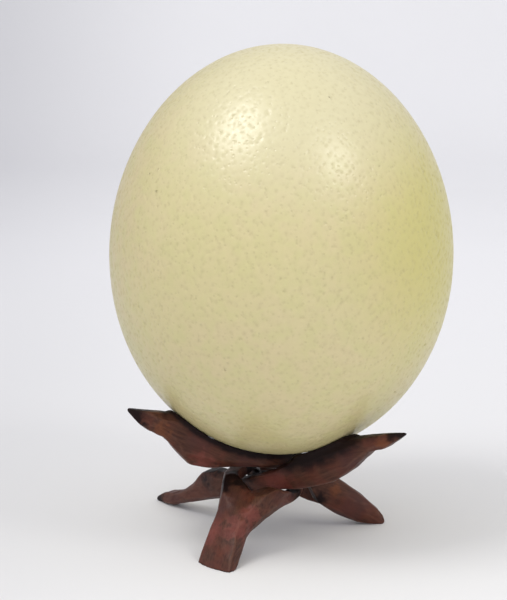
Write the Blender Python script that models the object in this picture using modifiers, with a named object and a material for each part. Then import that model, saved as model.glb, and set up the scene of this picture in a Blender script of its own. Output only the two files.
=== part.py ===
"""Ostrich egg on its carved three-legged stand.

Three hardwood legs are carved out of one block so that they interlock: the front leg forks
and the left leg runs through its fork, and the right leg forks and takes one strand of the
front leg. Each leg rises from its foot, crosses the middle and ends in a pointed arm on the
far side. The three arms are hollowed to the shape of the egg, which only rests in them.

World axes: +X right, -Y towards the front, +Z up. The soles stand on z = 0 and the egg's
centre is over the origin.
"""

import math

import bmesh
import bpy
from mathutils import Matrix, Vector

MM = 0.001

# ---------------------------------------------------------------- driving dimensions, mm

EGG_WIDTH = 127.5
EGG_LENGTH = 152.5
EGG_UNDERSIDE = 31.5       # height of the egg's lowest point above the floor
EGG_TAPER = 0.0235         # how much narrower the top is than the bottom
EGG_LEAN = 0.8             # degrees, top towards +X
SEAT_GAP = 0.3             # between the egg and the hollow carved for it

EGG_TURNS = 48             # facets round the egg
EGG_PROFILE_STEPS = 24     # facets from top to bottom

SECTION_POINTS = 14        # corners round a leg's section
SECTION_SQUARENESS = 3.2   # 2 is an ellipse, larger is squarer
RINGS_PER_SPAN = 2         # sections lofted between two stations

FLOOR_BLOCK = 200.0        # block that trims the soles flat

# A leg's body is lofted through stations, each of them:
#   (x, y, z, half width, half depth, yaw of the section in degrees)
# The first station reaches below the floor, so that the sole is cut flat, and the last is
# the tip of the arm.

RIGHT_LEG = [
    (38.6, 9.2, -0.8, 2.8, 2.1, 0),
    (35.4, 8.8, 2.7, 3.8, 4.0, 0),
    (30.4, 8.2, 5.7, 4.4, 5.0, 0),
    (24.5, 7.0, 9.4, 4.8, 6.0, 0),
    (17.5, 4.8, 14.5, 4.4, 6.3, 0),
    (10.5, 1.8, 24.2, 3.6, 4.0, 0),
    (3.5, -1.6, 27.7, 3.8, 4.1, 0),
    (-3.0, -4.4, 29.5, 4.2, 3.7, 0),
    (-10.0, -7.4, 30.9, 4.6, 4.1, 0),
    (-18.0, -10.4, 32.9, 4.8, 4.9, 0),
    (-25.0, -13.4, 34.8, 4.9, 6.6, 0),
    (-30.0, -15.4, 36.8, 4.9, 8.0, 0),
    (-35.5, -17.2, 41.4, 4.9, 6.9, 0),
    (-42.0, -18.9, 46.0, 4.6, 4.7, 0),
    (-48.0, -20.1, 47.9, 3.8, 4.1, 0),
    (-53.0, -20.8, 50.5, 2.4, 2.3, 0),
    (-56.4, -21.2, 52.4, 0.9, 0.7, 0),
]
RIGHT_LEG_FORK = [
    (23.0, 7.8, 9.4, 3.4, 3.6, 0),
    (15.0, 12.4, 9.8, 2.9, 3.4, 0),
    (7.6, 13.8, 12.2, 2.7, 3.0, 0),
    (2.2, 12.8, 15.2, 2.7, 2.4, 0),
    (-4.2, 11.2, 18.2, 2.8, 2.5, 0),
    (-9.8, 8.4, 19.5, 3.3, 2.8, 0),
    (-6.2, 4.0, 19.6, 2.6, 2.3, 0),
    (-4.8, -0.8, 23.4, 2.9, 2.3, 0),
    (-6.2, -5.8, 28.6, 2.4, 2.2, 0),
]

LEFT_LEG = [
    (-48.2, 39.8, 0.1, 1.2, 0.8, 0),
    (-45.0, 36.6, 2.0, 2.9, 2.4, 0),
    (-41.0, 32.2, 3.1, 3.6, 2.9, 0),
    (-36.0, 26.0, 5.8, 3.8, 2.8, 0),
    (-31.0, 20.0, 9.2, 4.1, 3.9, 0),
    (-25.4, 13.4, 14.4, 4.6, 6.2, 0),
    (-20.0, 7.0, 16.2, 4.6, 5.2, 0),
    (-14.0, -0.4, 17.2, 3.8, 3.8, 0),
    (-7.6, -7.0, 21.2, 3.6, 3.1, 0),
    (-1.0, -10.6, 22.9, 3.8, 4.1, 0),
    (6.0, -14.0, 26.0, 4.0, 6.0, 0),
    (13.0, -17.8, 29.4, 4.4, 7.0, 0),
    (20.0, -22.2, 33.8, 4.8, 7.3, 0),
    (26.5, -26.8, 38.3, 4.7, 5.4, 0),
    (32.0, -31.0, 42.2, 4.2, 3.1, 0),
    (37.6, -35.0, 44.2, 3.2, 2.8, 0),
    (44.2, -39.6, 48.3, 0.9, 0.6, 0),
]

FRONT_LEG = [
    (-25.0, -47.5, -8.0, 9.6, 4.6, -24),
    (-22.8, -41.6, 0.5, 9.2, 4.8, -22),
    (-19.8, -35.6, 8.5, 7.8, 5.0, -14),
    (-16.6, -29.6, 14.6, 7.2, 4.8, -6),
    (-16.4, -24.4, 19.2, 6.6, 4.0, 0),
    (-18.6, -18.4, 23.4, 3.9, 3.2, 0),
    (-18.4, -11.6, 24.2, 2.8, 2.7, 0),
    (-15.0, -2.8, 24.7, 3.5, 2.4, 0),
    (-11.8, 5.6, 25.4, 4.2, 2.7, 0),
    (-7.8, 14.0, 27.0, 4.0, 3.2, 0),
    (-3.4, 21.6, 30.6, 4.8, 4.6, 0),
    (-0.2, 29.0, 34.8, 5.0, 5.9, 0),
    (2.8, 36.0, 39.4, 4.9, 6.8, 0),
    (5.6, 43.0, 43.8, 4.6, 6.0, 0),
    (8.2, 50.0, 47.2, 3.8, 4.1, 0),
    (10.2, 56.0, 50.0, 2.5, 2.1, 0),
    (11.8, 60.6, 52.2, 0.9, 0.7, 0),
]
FRONT_LEG_FORK = [
    (-18.0, -34.0, 10.6, 5.0, 4.0, 0),
    (-11.4, -28.8, 16.2, 6.0, 5.2, 0),
    (-5.4, -24.4, 18.8, 5.0, 4.7, 0),
    (-0.6, -19.2, 18.6, 3.9, 3.3, 0),
    (2.6, -13.4, 16.8, 3.0, 1.8, 0),
    (5.2, -5.2, 16.8, 2.7, 2.1, 0),
    (6.4, 3.4, 16.3, 2.6, 2.1, 0),
    (3.4, 11.8, 21.2, 2.7, 2.4, 0),
    (-3.4, 20.4, 28.6, 2.6, 2.4, 0),
]

# ---------------------------------------------------------------- scene and materials


def clear_scene():
    """Remove whatever the open file holds."""
    for thing in list(bpy.data.objects):
        bpy.data.objects.remove(thing, do_unlink=True)


def new_collection(name):
    """A collection linked to the scene."""
    collection = bpy.data.collections.new(name)
    bpy.context.scene.collection.children.link(collection)
    return collection


def plain_material(name, colour, roughness):
    """A Principled material with one colour."""
    material = bpy.data.materials.new(name)
    material.use_nodes = True
    shader = material.node_tree.nodes["Principled BSDF"]
    shader.inputs["Base Color"].default_value = (*colour, 1.0)
    shader.inputs["Roughness"].default_value = roughness
    shader.inputs["Metallic"].default_value = 0.0
    material.diffuse_color = (*colour, 1.0)
    return material


def object_from_bmesh(name, bm, collection):
    """Store a bmesh, built in millimetres, as an object in metres."""
    bmesh.ops.scale(bm, vec=Vector((MM, MM, MM)), verts=bm.verts)
    mesh = bpy.data.meshes.new(name)
    bm.to_mesh(mesh)
    bm.free()
    thing = bpy.data.objects.new(name, mesh)
    collection.objects.link(thing)
    return thing


def as_cutter(thing):
    """Mark an operand of a Boolean: never rendered, drawn as wire."""
    thing.hide_render = True
    thing.display_type = "WIRE"
    return thing


# ---------------------------------------------------------------- egg


def egg_radius(rise, grow):
    """Radius at rise, -1 at the bottom to +1 at the top, of an egg grown outwards."""
    half_width = EGG_WIDTH / 2 + grow
    return half_width * math.sqrt(max(0.0, 1.0 - rise * rise)) * (1.0 - EGG_TAPER * rise)


def egg_object(name, collection, grow=0.0):
    """Egg turned from its outline with a Screw, leaning a little on its seat."""
    half_length = EGG_LENGTH / 2 + grow
    bm = bmesh.new()
    previous = None
    for step in range(EGG_PROFILE_STEPS + 1):
        rise = math.cos(math.pi * step / EGG_PROFILE_STEPS)
        vert = bm.verts.new((egg_radius(rise, grow), 0.0, half_length * rise))
        if previous is not None:
            bm.edges.new((previous, vert))
        previous = vert
    thing = object_from_bmesh(name, bm, collection)
    thing.location.z = (EGG_UNDERSIDE + EGG_LENGTH / 2) * MM
    thing.rotation_euler.y = math.radians(EGG_LEAN)
    screw = thing.modifiers.new("turn", "SCREW")
    screw.steps = EGG_TURNS
    screw.render_steps = EGG_TURNS
    screw.use_merge_vertices = True
    screw.merge_threshold = 0.00001
    screw.use_smooth_shade = True
    return thing


# ---------------------------------------------------------------- legs


def spline_value(before, start, end, after, t):
    """Catmull-Rom value between start and end."""
    slope_in = (end - before) / 2
    slope_out = (after - start) / 2
    a = 2 * start - 2 * end + slope_in + slope_out
    b = -3 * start + 3 * end - 2 * slope_in - slope_out
    return ((a * t + b) * t + slope_in) * t + start


def smooth_stations(stations):
    """Stations with more put between them on a smooth curve."""
    out = []
    last = len(stations) - 1
    for i in range(last):
        around = [stations[max(i - 1, 0)], stations[i], stations[i + 1], stations[min(i + 2, last)]]
        for k in range(RINGS_PER_SPAN):
            t = k / RINGS_PER_SPAN
            out.append([spline_value(*values, t) for values in zip(*around)])
    out.append(list(stations[last]))
    return out


def section_outline():
    """Rounded-square section of half size 1, as (across, up) pairs."""
    power = 2.0 / SECTION_SQUARENESS
    outline = []
    for k in range(SECTION_POINTS):
        angle = 2 * math.pi * (k + 0.5) / SECTION_POINTS
        c, s = math.cos(angle), math.sin(angle)
        outline.append((math.copysign(abs(c) ** power, c), math.copysign(abs(s) ** power, s)))
    return outline


def loft(name, stations, collection):
    """Bar lofted through stations, its section square to the path and level across."""
    rows = smooth_stations(stations)
    centres = [Vector(row[:3]) for row in rows]
    outline = section_outline()
    bm = bmesh.new()
    rings = []
    for i, row in enumerate(rows):
        ahead = centres[min(i + 1, len(rows) - 1)]
        behind = centres[max(i - 1, 0)]
        along = (ahead - behind).normalized()
        across = along.cross(Vector((0, 0, 1))).normalized()
        up = across.cross(along)
        across = Matrix.Rotation(math.radians(row[5]), 3, "Z") @ across
        half_width, half_depth = row[3], row[4]
        rings.append([
            bm.verts.new(centres[i] + across * (a * half_width) + up * (u * half_depth))
            for a, u in outline
        ])
    for low, high in zip(rings, rings[1:]):
        for k in range(SECTION_POINTS):
            n = (k + 1) % SECTION_POINTS
            bm.faces.new((low[k], low[n], high[n], high[k]))
    bm.faces.new(list(reversed(rings[0])))
    bm.faces.new(rings[-1])
    bmesh.ops.recalc_face_normals(bm, faces=bm.faces)
    return object_from_bmesh(name, bm, collection)


def floor_block(collection):
    """Block under the floor that trims the soles."""
    bm = bmesh.new()
    bmesh.ops.create_cube(bm, size=FLOOR_BLOCK)
    bmesh.ops.translate(bm, verts=bm.verts, vec=Vector((0, 0, -FLOOR_BLOCK / 2)))
    return as_cutter(object_from_bmesh("floor_cutter", bm, collection))


def add_boolean(thing, operation, operand):
    """Exact Boolean modifier."""
    modifier = thing.modifiers.new(operation.lower(), "BOOLEAN")
    modifier.operation = operation
    modifier.solver = "EXACT"
    modifier.object = operand


def leg(name, body, fork, parts, cutters, seat, floor):
    """One leg: its body, its second strand if it forks, the egg's hollow and a flat sole."""
    thing = loft(name, body, parts)
    if fork:
        add_boolean(thing, "UNION", as_cutter(loft(name + "_strand", fork, cutters)))
    add_boolean(thing, "DIFFERENCE", seat)
    add_boolean(thing, "DIFFERENCE", floor)
    thing.data.shade_smooth()
    return thing


def main():
    clear_scene()
    parts = new_collection("ostrich_egg_on_stand")
    cutters = new_collection("cutters")

    egg = egg_object("egg", parts)
    egg.data.materials.append(plain_material("eggshell", (0.72, 0.66, 0.44), 0.4))

    seat = as_cutter(egg_object("seat_cutter", cutters, grow=SEAT_GAP))
    floor = floor_block(cutters)
    legs = {
        "leg_front": (FRONT_LEG, FRONT_LEG_FORK, (0.11, 0.042, 0.030)),
        "leg_right": (RIGHT_LEG, RIGHT_LEG_FORK, (0.09, 0.036, 0.027)),
        "leg_left": (LEFT_LEG, None, (0.10, 0.040, 0.028)),
    }
    for name, (body, fork, colour) in legs.items():
        thing = leg(name, body, fork, parts, cutters, seat, floor)
        thing.data.materials.append(plain_material(name + "_wood", colour, 0.45))


main()
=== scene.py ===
"""An ostrich egg resting in its carved stand: shell, linked legs, finishes, light and camera.

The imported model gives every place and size. The shell is rebuilt with its pores, and the legs are
carved again with the flats that a knife leaves, each in the space of the solid that it stands for.
"""

import math

import bmesh
import bpy
import numpy as np
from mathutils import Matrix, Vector, noise
from mathutils.kdtree import KDTree


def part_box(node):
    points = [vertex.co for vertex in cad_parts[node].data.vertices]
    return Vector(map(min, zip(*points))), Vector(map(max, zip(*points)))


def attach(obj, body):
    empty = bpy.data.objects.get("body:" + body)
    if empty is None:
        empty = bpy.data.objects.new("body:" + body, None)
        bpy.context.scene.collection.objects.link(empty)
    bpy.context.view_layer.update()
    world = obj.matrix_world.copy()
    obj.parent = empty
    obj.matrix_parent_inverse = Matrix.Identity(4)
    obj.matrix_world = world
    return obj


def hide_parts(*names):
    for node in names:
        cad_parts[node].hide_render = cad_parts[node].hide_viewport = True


MM = 0.001

# Shell
SHELL_TAPER = 0.0235            # how much slimmer the upper half is than a true ellipse
SHELL_LEAN = math.radians(0.8)  # the top tips this far towards +X
SHELL_CUTS = 97                 # cuts along each edge of the 20-sided ball that the shell starts from
PORE_COUNT = 8600
PORE_WANDER = 0.27              # how far a pore strays from an even spread, in pore spacings
PORE_TWIN_SHARE = 0.10          # share of pores with a second one beside them
PORE_TWIN_GAP = 1.3 * MM
PORE_MIN_GAP = 1.15 * MM        # of two pores nearer than this, one is left out
PORE_RADIUS = 0.66 * MM
PORE_DEPTH = 0.27 * MM
PORE_RIM_SHARE = 0.28           # how much of its middle's darkness a pore's rim takes
PORE_CATCH = 1.9                # points within this many radii are drawn in to a pore
PORE_NEIGHBOURS = 8             # the most points drawn in to one pore
PORE_SIZES = (0.75, 1.25)       # smallest and largest, times PORE_RADIUS
PORE_STRETCHES = (1.0, 1.3)     # roundest and longest
PORE_STRENGTHS = (0.35, 1.0)    # shallowest and deepest, times PORE_DEPTH
PORE_PALEST = 0.45              # darkness painted in the middle of the faintest pore
SHELL_WAVES = (                 # length and height of the shell's uneven waves, broad to fine
    (26 * MM, 0.12 * MM),
    (8 * MM, 0.045 * MM),
    (3.4 * MM, 0.028 * MM),
)
SHELL_YELLOWED = [(56, -26, 116, 62)]   # x, y, z and reach in millimetres, like every spot below
# painted sheen: the shell is painted paler at its top front, where the glaze catches the light
SHELL_PAINTED_SHEEN = [(2, -34, 172, 62)]
SHELL_SEED = 11

# Legs
CARVING_GRID = 0.42 * MM        # spacing of the points that the carving is worked on
RELAX_SHARE = 0.5               # how far a point moves to its neighbours' mean in one round
FACETS_PER_LEG = 64
FACET_SETTLING_ROUNDS = 8
FACET_STRETCH = 2.6             # a knife stroke is this many times longer than it is wide
FACET_TURN_WEIGHT = 5.0 * MM    # how strongly a flat keeps to one direction
FACET_BLEND = 0.5 * MM          # width over which one flat rolls into the next
FACET_STRENGTH = 0.85           # 1 makes the flats wholly flat
FACET_REACH = 0.45 * MM         # the most that a flat moves the surface
FACET_INSET = 0.16 * MM         # each stroke takes a little more off
FACET_FILL = 0.07 * MM          # the most that a flat stands out past the solid
CHATTER_LENGTH = 3.2 * MM       # size of the small waves that a blade leaves
CHATTER_HEIGHT = 0.07 * MM
RIDGE_ROUNDS = 10               # rounds of relaxing that wipe out a ridge
RIDGE_HEIGHT = 0.12 * MM        # a ridge this high counts as fully sharp
SEAT_CLEARANCE = 0.15 * MM      # the legs stay this clear of the shell
SEAT_REACH = 0.9 * MM           # wood nearer to the shell than this is fitted closely to it
SEAT_RIM_DEPTH = 1.4 * MM       # the uncarved rim round a seat fades out this far from the shell

# Camera: how far it stands from the egg's middle, and where that middle sits in its view
EYE_DISTANCE = 0.750
EYE_PITCH = math.radians(10.97)
EYE_SHIFT_RIGHT = -0.0103
EYE_SHIFT_UP = -0.0184
EYE_LENS = 121.3                # focal length in mm


# ---------------------------------------------------------------- meshes

def mesh_points(mesh):
    """The mesh's points as rows of x, y, z."""
    points = np.empty(len(mesh.vertices) * 3)
    mesh.vertices.foreach_get("co", points)
    return points.reshape(-1, 3)


def set_mesh_points(mesh, points):
    mesh.vertices.foreach_set("co", points.astype(np.float32).ravel())
    mesh.update()


def mesh_normals(mesh):
    normals = np.empty(len(mesh.vertices) * 3)
    mesh.vertex_normals.foreach_get("vector", normals)
    return normals.reshape(-1, 3)


def mesh_edges(mesh):
    edges = np.empty(len(mesh.edges) * 2, dtype=int)
    mesh.edges.foreach_get("vertices", edges)
    return edges.reshape(-1, 2)


def relaxed(points, edges, rounds):
    """The points after each has moved towards the mean of its neighbours."""
    start, end = edges[:, 0], edges[:, 1]
    count = len(points)
    degree = np.bincount(start, minlength=count) + np.bincount(end, minlength=count)
    for _ in range(rounds):
        mean = np.empty_like(points)
        for axis in range(points.shape[1]):
            total = np.bincount(start, weights=points[end, axis], minlength=count)
            total += np.bincount(end, weights=points[start, axis], minlength=count)
            mean[:, axis] = total / degree
        points = points + (mean - points) * RELAX_SHARE
    return points


def paint(mesh, name, values):
    """Stores a number or a vector at each point of the mesh, for the materials to read."""
    kind = "FLOAT" if values.ndim == 1 else "FLOAT_VECTOR"
    key = "value" if values.ndim == 1 else "vector"
    attribute = mesh.attributes.new(name, kind, "POINT")
    attribute.data.foreach_set(key, values.astype(np.float32).ravel())


def unit(vectors):
    return vectors / np.linalg.norm(vectors, axis=1)[:, None]


def waves(points, wavelength, seed):
    """Smooth random heights from -1 to 1 over the points."""
    offset = Vector((seed * 7.3, seed * -3.1, seed * 5.7))
    return np.array([noise.noise(Vector(point) / wavelength + offset) for point in points])


def spot_mask(points, spots):
    """1 in the middle of a spot and 0 outside it. A spot is x, y, z and reach in millimetres."""
    mask = np.zeros(len(points))
    for x, y, z, reach in spots:
        distance = np.linalg.norm(points - np.array([x, y, z]) * MM, axis=1)
        mask = np.maximum(mask, np.clip(1 - distance / (reach * MM), 0, 1))
    return mask


def as_piece(mesh, name, node, material):
    """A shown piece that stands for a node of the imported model."""
    piece = bpy.data.objects.new(name, mesh)
    bpy.context.scene.collection.objects.link(piece)
    mesh.materials.clear()
    mesh.materials.append(material)
    mesh.shade_smooth()
    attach(piece, "root")
    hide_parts(node)
    return piece


# ---------------------------------------------------------------- shell

def shell_frame():
    """Middle, half width and half length of the egg."""
    low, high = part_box("egg")
    middle = (low + high) / 2
    return np.array(middle), (high.y - low.y) / 2, (high.z - low.z) / 2


def shell_lean():
    """The turn that tips the upright egg a little to one side."""
    return np.array([
        [math.cos(SHELL_LEAN), 0, math.sin(SHELL_LEAN)],
        [0, 1, 0],
        [-math.sin(SHELL_LEAN), 0, math.cos(SHELL_LEAN)],
    ])


def from_ball(places):
    """Moves places on a ball of radius 1 to the egg's own places, on a shell of its true shape."""
    middle, half_width, half_length = shell_frame()
    points = places * np.array([half_width, half_width, half_length])
    points[:, :2] *= 1 - SHELL_TAPER * places[:, 2:]
    return points @ shell_lean().T + middle


def to_ball(points):
    """The opposite of from_ball: the shell becomes a ball of radius 1."""
    middle, half_width, half_length = shell_frame()
    places = (points - middle) @ shell_lean() / np.array([half_width, half_width, half_length])
    places[:, :2] /= 1 - SHELL_TAPER * places[:, 2:]
    return places


def shell_outward(directions):
    """Directions straight out of the shell."""
    _, half_width, half_length = shell_frame()
    outward = unit(directions / np.array([half_width, half_width, half_length]))
    return outward @ shell_lean().T


def pore_directions(rng):
    """Directions of the pores: an even spiral, each strayed a little, some with a twin."""
    step = np.arange(PORE_COUNT) + 0.5
    golden_turn = math.pi * (3 - math.sqrt(5))
    rise = 1 - 2 * step / PORE_COUNT
    ring = np.sqrt(1 - rise**2)
    turn = step * golden_turn
    even = np.stack([ring * np.cos(turn), ring * np.sin(turn), rise], axis=1)
    spacing = math.sqrt(4 * math.pi / PORE_COUNT)
    single = unit(even + rng.normal(0, PORE_WANDER * spacing, even.shape))
    twins = single[rng.random(PORE_COUNT) < PORE_TWIN_SHARE]
    _, half_width, half_length = shell_frame()
    gap = PORE_TWIN_GAP / ((half_width + half_length) / 2)
    side = np.cross(twins, rng.normal(0, 1, twins.shape))
    return np.concatenate([single, unit(twins + unit(side) * gap)])


def search_tree(points):
    tree = KDTree(len(points))
    for index, point in enumerate(points):
        tree.insert(point, index)
    tree.balance()
    return tree


def spread_out(points, smallest_gap):
    """Which points to keep so that no two are nearer than the smallest gap."""
    tree = search_tree(points)
    keep = np.ones(len(points), dtype=bool)
    for index, point in enumerate(points):
        for _, other, _ in tree.find_range(point, smallest_gap):
            if other < index and keep[other]:
                keep[index] = False
    return keep


def ball_mesh():
    """An even ball of small triangles."""
    ball = bmesh.new()
    bmesh.ops.create_icosphere(ball, subdivisions=1, radius=1.0)
    bmesh.ops.subdivide_edges(ball, edges=ball.edges, cuts=SHELL_CUTS, use_grid_fill=True)
    bmesh.ops.recalc_face_normals(ball, faces=ball.faces)
    mesh = bpy.data.meshes.new("egg_shell")
    ball.to_mesh(mesh)
    ball.free()
    return mesh


def sink_pores(points, pores, pore_outward, rng):
    """Draws the nearest points in to each pore and sinks its middle. Returns points and darkness."""
    tree = search_tree(points)
    sunk = points.copy()
    depth = np.zeros(len(points))
    middles = {}
    for number, pore in enumerate(pores):
        nearest = tree.find(pore)[1]
        if nearest not in middles:
            middles[nearest] = number
    claims = {}
    for middle, number in middles.items():
        for _, index, distance in tree.find_n(pores[number], PORE_NEIGHBOURS):
            if index in middles:
                continue
            if index not in claims or distance < claims[index][0]:
                claims[index] = (distance, number)
    size = rng.uniform(*PORE_SIZES, len(pores))
    stretch = rng.uniform(*PORE_STRETCHES, len(pores))
    slant = unit(np.cross(pore_outward, rng.normal(0, 1, pores.shape)))
    for middle, number in middles.items():
        strength = rng.uniform(*PORE_STRENGTHS)
        sunk[middle] = pores[number] - pore_outward[number] * PORE_DEPTH * strength * size[number]
        depth[middle] = PORE_PALEST + (1 - PORE_PALEST) * strength
    for index, (distance, number) in claims.items():
        if distance > PORE_CATCH * PORE_RADIUS:
            continue
        away = points[index] - pores[number]
        away /= np.linalg.norm(away)
        along = away @ slant[number]
        reach = PORE_RADIUS * size[number] * (1 + (stretch[number] - 1) * along**2)
        sunk[index] = pores[number] + away * reach
        depth[index] = PORE_RIM_SHARE * size[number]
    return sunk, depth


def egg_shell(material):
    """The leaning shell with its pores and waves, painted with where it is darker or yellower, and with a
    painted sheen where it is paler.
    """
    rng = np.random.default_rng(SHELL_SEED)
    mesh = ball_mesh()
    directions = unit(mesh_points(mesh))
    outward = shell_outward(directions)
    pore_places = pore_directions(rng)
    pores = from_ball(pore_places)
    kept = spread_out(pores, PORE_MIN_GAP)
    points = from_ball(directions)
    points, depth = sink_pores(points, pores[kept], shell_outward(pore_places[kept]), rng)
    for number, (length, height) in enumerate(SHELL_WAVES):
        hollow = (1 - waves(points, length, number + 1)) / 2
        points = points - outward * (hollow * height)[:, None]
    set_mesh_points(mesh, points)
    paint(mesh, "pore", depth)
    paint(mesh, "yellowed", spot_mask(points, SHELL_YELLOWED))
    # painted sheen: marks the top front that is painted paler
    paint(mesh, "pale", spot_mask(points, SHELL_PAINTED_SHEEN))
    return as_piece(mesh, "egg_shell", "egg", material)


# ---------------------------------------------------------------- carved legs

def fine_copy(node):
    """The node's shape on an even fine grid, as a new mesh."""
    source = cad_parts[node]
    block = bpy.data.objects.new("block", source.data.copy())
    bpy.context.scene.collection.objects.link(block)
    grid = block.modifiers.new("grid", "REMESH")
    grid.mode = "VOXEL"
    grid.voxel_size = CARVING_GRID
    evaluated = block.evaluated_get(bpy.context.evaluated_depsgraph_get())
    mesh = bpy.data.meshes.new_from_object(evaluated)
    bpy.data.objects.remove(block)
    return mesh


def grain_places(points):
    """Each point's place along the leg's length and across it, in metres."""
    centred = points - points.mean(axis=0)
    sample = centred[::7]
    _, _, axes = np.linalg.svd(sample, full_matrices=False)
    signs = np.sign(axes[np.arange(3), np.abs(axes).argmax(axis=1)])
    return centred @ (axes * signs[:, None]).T


def facet_shares(features, rng):
    """How much each point belongs to each knife flat, after a few rounds of settling."""
    seeds = features[rng.choice(len(features), FACETS_PER_LEG, replace=False)]
    for _ in range(FACET_SETTLING_ROUNDS):
        gap = ((features[:, None, :] - seeds[None, :, :]) ** 2).sum(axis=2)
        owner = gap.argmin(axis=1)
        for facet in range(FACETS_PER_LEG):
            if (owner == facet).any():
                seeds[facet] = features[owner == facet].mean(axis=0)
    distance = np.sqrt(((features[:, None, :] - seeds[None, :, :]) ** 2).sum(axis=2))
    shares = np.exp(-(distance - distance.min(axis=1)[:, None]) / FACET_BLEND)
    return shares / shares.sum(axis=1)[:, None]


def carve(points, normals, places, rng):
    """The points moved onto the flats of the knife strokes."""
    stretched = places * np.array([1 / FACET_STRETCH, 1, 1])
    shares = facet_shares(np.hstack([stretched, normals * FACET_TURN_WEIGHT]), rng)
    weight = shares.sum(axis=0)
    middles = (shares.T @ points) / weight[:, None]
    facings = unit(shares.T @ normals)
    height = points @ facings.T - (middles * facings).sum(axis=1)[None, :] + FACET_INSET
    height = np.clip(height * FACET_STRENGTH, -FACET_FILL, FACET_REACH)
    return points - (shares * height) @ facings


def gap_to_egg(points):
    """Distance from each point to the shell, near enough for fitting and shading."""
    _, half_width, _ = shell_frame()
    return (np.linalg.norm(to_ball(points), axis=1) - 1) * half_width


def seated(points):
    """The points, with the wood by the shell fitted closely to it and none of it inside."""
    _, half_width, _ = shell_frame()
    places = to_ball(points)
    reach = np.linalg.norm(places, axis=1)
    seat = 1 + SEAT_CLEARANCE / half_width
    share = np.clip(2 - (reach - 1) * half_width / SEAT_REACH, 0, 1)
    moved = from_ball(places * (1 + (seat / reach - 1) * share)[:, None])
    return np.where(share[:, None] > 0, moved, points)


def carved_leg(node, material, worn_spots, red_and_highlight_spots, shade_spots, seat_shade, seed):
    """One leg carved from its node. seat_shade is how far in mm the painted shade by the shell reaches.
    """
    rng = np.random.default_rng(seed)
    mesh = fine_copy(node)
    edges = mesh_edges(mesh)
    uncarved = mesh_points(mesh)
    rim = np.clip(1.5 - gap_to_egg(uncarved) / SEAT_RIM_DEPTH, 0, 1)[:, None]
    points = relaxed(uncarved, edges, 2)
    set_mesh_points(mesh, points)
    places = grain_places(points)
    normals = relaxed(mesh_normals(mesh), edges, 3)
    points = carve(points, unit(normals), places, rng)
    points = relaxed(points, edges, 2)
    set_mesh_points(mesh, points)
    normals = mesh_normals(mesh)
    chatter = waves(places * np.array([1.0, 0.6, 0.6]), CHATTER_LENGTH, seed) * CHATTER_HEIGHT
    points = points + normals * chatter[:, None]
    points = points + (uncarved - points) * rim
    points[:, 2] = np.maximum(points[:, 2], 0.0)
    points = seated(points)
    set_mesh_points(mesh, points)
    broad = relaxed(points, edges, RIDGE_ROUNDS)
    ridge = ((points - broad) * mesh_normals(mesh)).sum(axis=1) / RIDGE_HEIGHT
    paint(mesh, "grain", places)
    paint(mesh, "ridge", np.clip(ridge, -1, 1))
    # painted shade by the shell, partly its darker stain: under_egg is 1 at the shell and 0 seat_shade
    # away
    paint(mesh, "under_egg", np.clip(1 - gap_to_egg(points) / (seat_shade * MM), 0, 1))
    paint(mesh, "worn", spot_mask(points, worn_spots))
    # red patches: the wood's own reddish colour, and on leg_left a painted highlight
    paint(mesh, "red", spot_mask(points, red_and_highlight_spots))
    # painted shade: these dark spots are where the wood lies in deep shade under the egg and between the
    # legs
    paint(mesh, "dark", spot_mask(points, shade_spots))
    return as_piece(mesh, "carved_" + node, node, material)


# ---------------------------------------------------------------- materials

class Nodes:
    """A node tree with short ways to add and join nodes."""

    def __init__(self, tree):
        self.tree = tree

    def add(self, kind, **sockets):
        node = self.tree.nodes.new(kind)
        for name, value in sockets.items():
            self.put(node.inputs[name.replace("_", " ")], value)
        return node

    def put(self, socket, value):
        if isinstance(value, bpy.types.NodeSocket):
            self.tree.links.new(value, socket)
        else:
            socket.default_value = value

    def calc(self, operation, first, second, clamp=False):
        node = self.tree.nodes.new("ShaderNodeMath")
        node.operation = operation
        node.use_clamp = clamp
        self.put(node.inputs[0], first)
        self.put(node.inputs[1], second)
        return node.outputs[0]

    def mix(self, share, first, second):
        node = self.tree.nodes.new("ShaderNodeMix")
        node.data_type = "RGBA"
        self.put(node.inputs["Factor"], share)
        self.put(node.inputs[6], first)
        self.put(node.inputs[7], second)
        return node.outputs[2]

    def ramp(self, value, low, high, to_low=0.0, to_high=1.0):
        node = self.tree.nodes.new("ShaderNodeMapRange")
        node.interpolation_type = "SMOOTHSTEP"
        for index, item in enumerate((value, low, high, to_low, to_high)):
            self.put(node.inputs[index], item)
        return node.outputs[0]

    def painted(self, name):
        node = self.tree.nodes.new("ShaderNodeAttribute")
        node.attribute_name = name
        return node

    def stretched(self, vector, scale):
        node = self.tree.nodes.new("ShaderNodeVectorMath")
        node.operation = "MULTIPLY"
        self.put(node.inputs[0], vector)
        self.put(node.inputs[1], scale)
        return node.outputs[0]

    def group(self, tree, **sockets):
        node = self.tree.nodes.new("ShaderNodeGroup")
        node.node_tree = tree
        for name, value in sockets.items():
            self.put(node.inputs[name.replace("_", " ")], value)
        return node


def new_group(name, inputs, outputs):
    """A shader node group with these named sockets. Returns its nodes, its inputs and its output node."""
    tree = bpy.data.node_groups.new(name, "ShaderNodeTree")
    for socket, kind, value in inputs:
        made = tree.interface.new_socket(socket, in_out="INPUT", socket_type=kind)
        if value is not None:
            made.default_value = value
    for socket, kind in outputs:
        tree.interface.new_socket(socket, in_out="OUTPUT", socket_type=kind)
    nodes = Nodes(tree)
    given = tree.nodes.new("NodeGroupInput").outputs
    result = tree.nodes.new("NodeGroupOutput").inputs
    return tree, nodes, given, result


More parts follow.
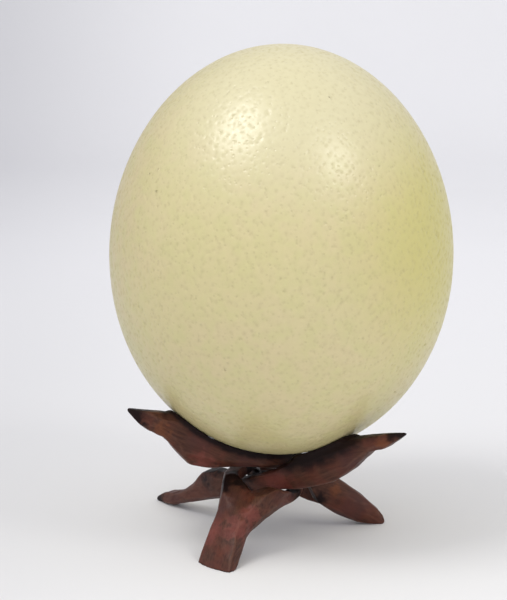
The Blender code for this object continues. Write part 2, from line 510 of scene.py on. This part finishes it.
def cloudy_patches():
    """Soft-edged patches: a mask of a given size and coverage."""
    tree, nodes, given, result = new_group(
        "cloudy_patches",
        [("Place", "NodeSocketVector", None), ("Scale", "NodeSocketFloat", 50.0),
         ("Detail", "NodeSocketFloat", 3.0), ("Low", "NodeSocketFloat", 0.4),
         ("High", "NodeSocketFloat", 0.6)],
        [("Mask", "NodeSocketFloat")],
    )
    cloud = nodes.add("ShaderNodeTexNoise", Vector=given["Place"], Scale=given["Scale"],
                      Detail=given["Detail"], Roughness=0.55)
    nodes.put(result["Mask"], nodes.ramp(cloud.outputs[0], given["Low"], given["High"]))
    return tree


def wood_fibres():
    """Long fibres and short dark vessels that follow the grain."""
    tree, nodes, given, result = new_group(
        "wood_fibres",
        [("Grain", "NodeSocketVector", None)],
        [("Fibres", "NodeSocketFloat"), ("Vessels", "NodeSocketFloat")],
    )
    waver = nodes.add("ShaderNodeTexNoise", Vector=given["Grain"], Scale=45.0, Detail=2.0)
    shift = nodes.stretched(waver.outputs[1], (0.0, 0.004, 0.004))
    place = nodes.tree.nodes.new("ShaderNodeVectorMath")
    place.operation = "ADD"
    nodes.put(place.inputs[0], given["Grain"])
    nodes.put(place.inputs[1], shift)
    fibre_place = nodes.stretched(place.outputs[0], (1.0, 16.0, 16.0))
    fibres = nodes.add("ShaderNodeTexNoise", Vector=fibre_place, Scale=75.0,
                       Detail=5.0, Roughness=0.6)
    nodes.put(result["Fibres"], fibres.outputs[0])
    vessel_place = nodes.stretched(place.outputs[0], (1.0, 9.0, 9.0))
    vessels = nodes.add("ShaderNodeTexVoronoi", Vector=vessel_place, Scale=260.0)
    nodes.put(result["Vessels"], nodes.ramp(vessels.outputs["Distance"], 0.10, 0.26, 1.0, 0.0))
    return tree


def new_material(name):
    material = bpy.data.materials.new(name)
    material.use_nodes = True
    material.node_tree.nodes.clear()
    nodes = Nodes(material.node_tree)
    surface = nodes.add("ShaderNodeBsdfPrincipled")
    output = nodes.add("ShaderNodeOutputMaterial")
    nodes.put(output.inputs["Surface"], surface.outputs[0])
    return material, nodes, surface


def shell_material(patches):
    """Glazed cream shell: yellower clouds, darker pores, a fine uneven gloss, and a painted sheen that
    makes the top front paler.
    """
    material, nodes, surface = new_material("glazed_shell")
    place = nodes.add("ShaderNodeTexCoord").outputs["Object"]
    cream = (0.595, 0.520, 0.266, 1.0)
    pinkish = (0.606, 0.508, 0.280, 1.0)
    greenish = (0.566, 0.522, 0.240, 1.0)
    straw = (0.545, 0.490, 0.135, 1.0)
    sheen_ivory = (0.625, 0.570, 0.350, 1.0)
    pore_brown = (0.37, 0.31, 0.16, 1.0)
    broad = nodes.group(patches, Place=place, Scale=24.0, Detail=2.0, Low=0.36, High=0.66)
    small = nodes.group(patches, Place=place, Scale=150.0, Detail=4.0, Low=0.35, High=0.70)
    speck = nodes.group(patches, Place=place, Scale=520.0, Detail=2.0, Low=0.30, High=0.70)
    colour = nodes.mix(nodes.calc("MULTIPLY", broad.outputs[0], 0.8), cream, pinkish)
    colour = nodes.mix(nodes.calc("MULTIPLY", small.outputs[0], 0.7), colour, greenish)
    yellowed = nodes.ramp(nodes.painted("yellowed").outputs["Fac"], 0.05, 0.8, 0.0, 0.8)
    colour = nodes.mix(yellowed, colour, straw)
    # painted sheen: the top front is mixed towards a paler ivory
    pale = nodes.ramp(nodes.painted("pale").outputs["Fac"], 0.0, 0.75)
    colour = nodes.mix(pale, colour, sheen_ivory)
    colour = nodes.mix(nodes.calc("MULTIPLY", speck.outputs[0], 0.07), colour, pore_brown)
    pore = nodes.painted("pore").outputs["Fac"]
    pit = nodes.ramp(pore, 0.05, 0.90)
    dots = nodes.add("ShaderNodeTexVoronoi", Vector=place, Scale=470.0)
    dimple = nodes.ramp(dots.outputs["Distance"], 0.02, 0.31, 1.0, 0.0)
    colour = nodes.mix(nodes.calc("MULTIPLY", pit, 0.20), colour, pore_brown)
    colour = nodes.mix(nodes.calc("MULTIPLY", dimple, 0.20), colour, pore_brown)
    nodes.put(surface.inputs["Base Color"], colour)
    fine = nodes.add("ShaderNodeTexNoise", Vector=place, Scale=900.0, Detail=3.0)
    gloss = nodes.ramp(fine.outputs[0], 0.3, 0.7, 0.28, 0.36)
    nodes.put(surface.inputs["Roughness"], nodes.calc("ADD", gloss, nodes.calc("MULTIPLY", pit, 0.2)))
    surface.inputs["IOR"].default_value = 1.5
    surface.inputs["Specular IOR Level"].default_value = 0.9
    grainy = nodes.add("ShaderNodeTexNoise", Vector=place, Scale=420.0, Detail=3.0, Roughness=0.6)
    relief = nodes.calc("SUBTRACT", nodes.calc("MULTIPLY", grainy.outputs[0], 0.4), dimple)
    bump = nodes.add("ShaderNodeBump", Strength=1.0, Distance=0.085 * MM, Height=relief)
    nodes.put(surface.inputs["Normal"], bump.outputs[0])
    return material


def wood_material(name, fibres, patches, warmth):
    """Dark stained wood, waxed by handling, with painted shade by the shell, in creases and in deep
    shade, and a painted highlight among its red patches. A higher warmth leans it to red.
    """
    material, nodes, surface = new_material(name)
    place = nodes.add("ShaderNodeTexCoord").outputs["Object"]
    grain = nodes.painted("grain").outputs["Vector"]
    wood = nodes.group(fibres, Grain=grain)
    dark = (0.032, 0.011, 0.008, 1.0)
    brown = (0.080, 0.030, 0.018, 1.0)
    russet = (0.118, 0.029, 0.017, 1.0)
    plum = (0.066, 0.023, 0.022, 1.0)
    bare = (0.200, 0.060, 0.018, 1.0)
    worn_edge = (0.170, 0.082, 0.055, 1.0)
    rose = (0.250, 0.062, 0.052, 1.0)
    # black for the painted shade and the stain in creases
    shade_and_grime_black = (0.004, 0.002, 0.003, 1.0)
    streaks = nodes.ramp(wood.outputs["Fibres"], 0.22, 0.66)
    colour = nodes.mix(streaks, dark, brown)
    tone = nodes.group(patches, Place=place, Scale=95.0, Detail=3.0, Low=0.44, High=0.64)
    colour = nodes.mix(nodes.calc("MULTIPLY", tone.outputs[0], warmth), colour, russet)
    shade = nodes.group(patches, Place=place, Scale=62.0, Detail=3.0, Low=0.46, High=0.66)
    colour = nodes.mix(nodes.calc("MULTIPLY", shade.outputs[0], 0.5), colour, plum)
    ridge = nodes.painted("ridge").outputs["Fac"]
    break_up = nodes.group(patches, Place=place, Scale=240.0, Detail=3.0, Low=0.32, High=0.68)
    ragged = nodes.calc("SUBTRACT", nodes.calc("MULTIPLY", break_up.outputs[0], 0.55), 0.30)
    ragged = nodes.calc("ADD", ragged, nodes.calc("MULTIPLY", streaks, 0.12))
    edge = nodes.ramp(nodes.calc("ADD", ridge, nodes.calc("MULTIPLY", ragged, 0.6)), 0.20, 0.95)
    colour = nodes.mix(nodes.calc("MULTIPLY", edge, 0.28), colour, worn_edge)
    worn = nodes.ramp(nodes.calc("ADD", nodes.painted("worn").outputs["Fac"], ragged), 0.15, 0.80)
    colour = nodes.mix(nodes.calc("MULTIPLY", worn, 0.42), colour, bare)
    # red patches: mostly the wood's own colour; on leg_left's tongue a painted highlight
    red = nodes.ramp(nodes.calc("ADD", nodes.painted("red").outputs["Fac"], ragged), 0.10, 0.85)
    colour = nodes.mix(nodes.calc("MULTIPLY", red, 0.42), colour, rose)
    colour = nodes.mix(nodes.calc("MULTIPLY", wood.outputs["Vessels"], 0.45), colour, dark)
    # creases are darkened: partly stain gathered there, partly painted shade
    crease = nodes.ramp(ridge, -0.15, -0.9, 0.0, 0.7)
    # painted shade, partly darker stain: the wood by the shell goes towards black
    near_egg = nodes.painted("under_egg").outputs["Fac"]
    near_egg = nodes.ramp(nodes.calc("ADD", near_egg, nodes.calc("MULTIPLY", ragged, 0.35)), 0.05, 0.62)
    # painted shade: black patches where the wood lies in deep shade
    painted_shade_patches = nodes.ramp(nodes.calc("ADD", nodes.painted("dark").outputs["Fac"], ragged), 0.10, 0.75)
    # painted shade and grime: the darkest of the crease, shell and shade-patch masks
    painted_shade_and_grime = nodes.calc("MAXIMUM", nodes.calc("MAXIMUM", crease, near_egg), painted_shade_patches)
    painted_shade_and_grime = nodes.calc("MULTIPLY", painted_shade_and_grime, 0.92)
    colour = nodes.mix(painted_shade_and_grime, colour, shade_and_grime_black)
    nodes.put(surface.inputs["Base Color"], colour)
    polish = nodes.ramp(wood.outputs["Fibres"], 0.3, 0.7, 0.55, 0.42)
    nodes.put(surface.inputs["Roughness"], polish)
    surface.inputs["IOR"].default_value = 1.45
    surface.inputs["Specular IOR Level"].default_value = 0.14
    wax = nodes.calc("MULTIPLY", nodes.calc("SUBTRACT", 1.0, painted_shade_and_grime, clamp=True), 0.22)
    nodes.put(surface.inputs["Coat Weight"], wax)
    surface.inputs["Coat Roughness"].default_value = 0.34
    surface.inputs["Coat IOR"].default_value = 1.4
    grooves = nodes.calc("MULTIPLY", wood.outputs["Vessels"], 0.5)
    relief = nodes.calc("SUBTRACT", wood.outputs["Fibres"], grooves)
    bump = nodes.add("ShaderNodeBump", Strength=0.5, Distance=0.14 * MM, Height=relief)
    nodes.put(surface.inputs["Normal"], bump.outputs[0])
    return material


def paper_material(patches):
    """The pale sheet that the object stands on, with painted light: greyer to the left and paler to the
    right, most of all far off.
    """
    material, nodes, surface = new_material("pale_sheet")
    place = nodes.add("ShaderNodeTexCoord").outputs["Object"]
    across = nodes.add("ShaderNodeSeparateXYZ", Vector=place)
    # painted light and shade: the sheet is greyer to the left and paler to the right
    far_left_shaded = (0.60, 0.597, 0.625, 1.0)
    far_right_lit = (0.885, 0.88, 0.90, 1.0)
    near_left_shaded = (0.665, 0.662, 0.675, 1.0)
    near_right_lit = (0.775, 0.772, 0.785, 1.0)
    far_painted_light = nodes.mix(nodes.ramp(across.outputs["X"], -0.42, -0.02), far_left_shaded, far_right_lit)
    near_painted_light = nodes.mix(nodes.ramp(across.outputs["X"], -0.15, -0.02), near_left_shaded, near_right_lit)
    colour = nodes.mix(nodes.ramp(across.outputs["Y"], 0.02, 0.70), near_painted_light, far_painted_light)
    cloud = nodes.group(patches, Place=place, Scale=6.0, Detail=1.0, Low=0.2, High=0.8)
    colour = nodes.mix(nodes.calc("MULTIPLY", cloud.outputs[0], 0.1), colour, near_right_lit)
    nodes.put(surface.inputs["Base Color"], colour)
    surface.inputs["Roughness"].default_value = 0.8
    surface.inputs["Specular IOR Level"].default_value = 0.1
    return material


# ---------------------------------------------------------------- stage

def pale_floor(material):
    """A sheet that lies flat under the object and curves up well behind it."""
    width, front, bend, radius, top = 5.0, -5.0, 1.1, 0.5, 1.8
    arc = [math.pi / 2 * step / 16 for step in range(17)]
    profile = [(front, 0.0)]
    profile += [(bend + radius * math.sin(a), radius * (1 - math.cos(a))) for a in arc]
    profile += [(bend + radius, top)]
    sheet = bmesh.new()
    left = [sheet.verts.new((-width, y, z)) for y, z in profile]
    right = [sheet.verts.new((width, y, z)) for y, z in profile]
    for step in range(len(profile) - 1):
        sheet.faces.new((left[step], right[step], right[step + 1], left[step + 1]))
    mesh = bpy.data.meshes.new("pale_floor")
    sheet.to_mesh(mesh)
    sheet.free()
    mesh.shade_smooth()
    mesh.materials.append(material)
    floor = bpy.data.objects.new("pale_floor", mesh)
    bpy.context.scene.collection.objects.link(floor)


def softbox(name, direction, distance, size, power, colour, aim):
    """A square soft light, unseen itself, that faces the point aim from a direction."""
    light = bpy.data.lights.new(name, "AREA")
    light.shape = "SQUARE"
    light.size = size
    light.energy = power
    light.color = colour
    lamp = bpy.data.objects.new(name, light)
    bpy.context.scene.collection.objects.link(lamp)
    towards = Vector(direction).normalized()
    lamp.location = aim + towards * distance
    lamp.rotation_euler = towards.to_track_quat("Z", "Y").to_euler()
    lamp.visible_camera = False
    return lamp


def room_light(colour, strength):
    """Even light from all round."""
    world = bpy.data.worlds.new("room_light")
    world.use_nodes = True
    background = world.node_tree.nodes["Background"]
    background.inputs["Color"].default_value = colour
    background.inputs["Strength"].default_value = strength
    bpy.context.scene.world = world


def camera(egg_middle):
    """A long lens a short way off, looking slightly down."""
    forward = Vector((0, math.cos(EYE_PITCH), -math.sin(EYE_PITCH)))
    up = Vector((0, math.sin(EYE_PITCH), math.cos(EYE_PITCH)))
    data = bpy.data.cameras.new("camera")
    data.lens = EYE_LENS
    data.clip_start = 0.01
    eye = bpy.data.objects.new("camera", data)
    bpy.context.scene.collection.objects.link(eye)
    eye.location = egg_middle - forward * EYE_DISTANCE + up * EYE_SHIFT_UP
    eye.location.x += EYE_SHIFT_RIGHT
    eye.rotation_euler = (math.pi / 2 - EYE_PITCH, 0, 0)
    bpy.context.scene.camera = eye


# ---------------------------------------------------------------- the whole

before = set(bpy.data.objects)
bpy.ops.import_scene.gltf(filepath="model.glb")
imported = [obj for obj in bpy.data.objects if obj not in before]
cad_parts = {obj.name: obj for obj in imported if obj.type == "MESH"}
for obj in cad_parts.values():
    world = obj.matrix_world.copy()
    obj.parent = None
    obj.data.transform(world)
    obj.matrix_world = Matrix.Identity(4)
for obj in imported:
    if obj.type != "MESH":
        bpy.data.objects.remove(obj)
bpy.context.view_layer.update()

patches = cloudy_patches()
fibres = wood_fibres()
egg_shell(shell_material(patches))
# Each leg's spots of deep shade under the egg and between the legs are painted shade.
carved_leg(
    "leg_front", wood_material("front_leg_wood", fibres, patches, warmth=0.60),
    worn_spots=[],
    red_and_highlight_spots=[(-16.0, -39.0, 12.0, 8.0), (-25.5, -36.0, 10.0, 7.0), (-11.6, -35.4, 16.5, 6.0)],
    shade_spots=[
        (-16.0, -18.0, 25.0, 9.0), (-20.5, -22.0, 24.5, 6.5),
        (-12.0, 2.0, 25.0, 15.0), (4.0, -10.0, 18.0, 9.0),
    ],
    seat_shade=4.0,
    seed=3,
)
carved_leg(
    "leg_right", wood_material("right_leg_wood", fibres, patches, warmth=0.40),
    worn_spots=[(-43.5, -23.7, 44.8, 5.5), (21.5, 1.5, 15.5, 4.0)],
    red_and_highlight_spots=[(-27.0, -21.0, 31.0, 9.0)],
    shade_spots=[
        (9.0, 2.0, 27.0, 15.0), (-6.0, 4.0, 20.0, 14.0), (14.0, 2.0, 12.0, 5.0),
        (-54.0, -22.0, 52.0, 10.0), (-40.0, -17.0, 51.0, 7.0),
    ],
    seat_shade=3.0,
    seed=5,
)
carved_leg(
    "leg_left", wood_material("left_leg_wood", fibres, patches, warmth=0.42),
    worn_spots=[(36.5, -38.1, 43.4, 5.0)],
    # painted highlight: the lit tongue of this leg is painted rose
    red_and_highlight_spots=[(-2.0, -14.5, 22.5, 9.5)],
    shade_spots=[
        (-13.0, -2.0, 19.0, 10.5), (-26.0, 12.0, 22.0, 11.0), (-48.0, 39.0, 1.0, 9.0),
        (43.0, -39.0, 48.5, 9.0), (34.0, -31.0, 47.5, 6.0),
    ],
    seat_shade=8.0,
    seed=8,
)

pale_floor(paper_material(patches))
low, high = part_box("egg")
egg_middle = (low + high) / 2
camera(egg_middle)
softbox("key_light", direction=(-0.42, -0.28, 0.86), distance=0.95, size=0.38, power=3.0,
        colour=(1.0, 0.995, 0.985), aim=egg_middle)
softbox("side_light", direction=(0.546, -0.484, 0.684), distance=1.0, size=0.28, power=1.3,
        colour=(1.0, 0.99, 0.97), aim=egg_middle)
low_fill = softbox("low_fill", direction=(0.2, -1.0, 0.16), distance=2.2, size=0.7, power=5.6,
                   colour=(1.0, 1.0, 1.0), aim=egg_middle)
low_fill.visible_glossy = False
room_light((0.975, 0.98, 1.0, 1.0), 0.90)
bpy.context.scene.view_settings.view_transform = "Standard"
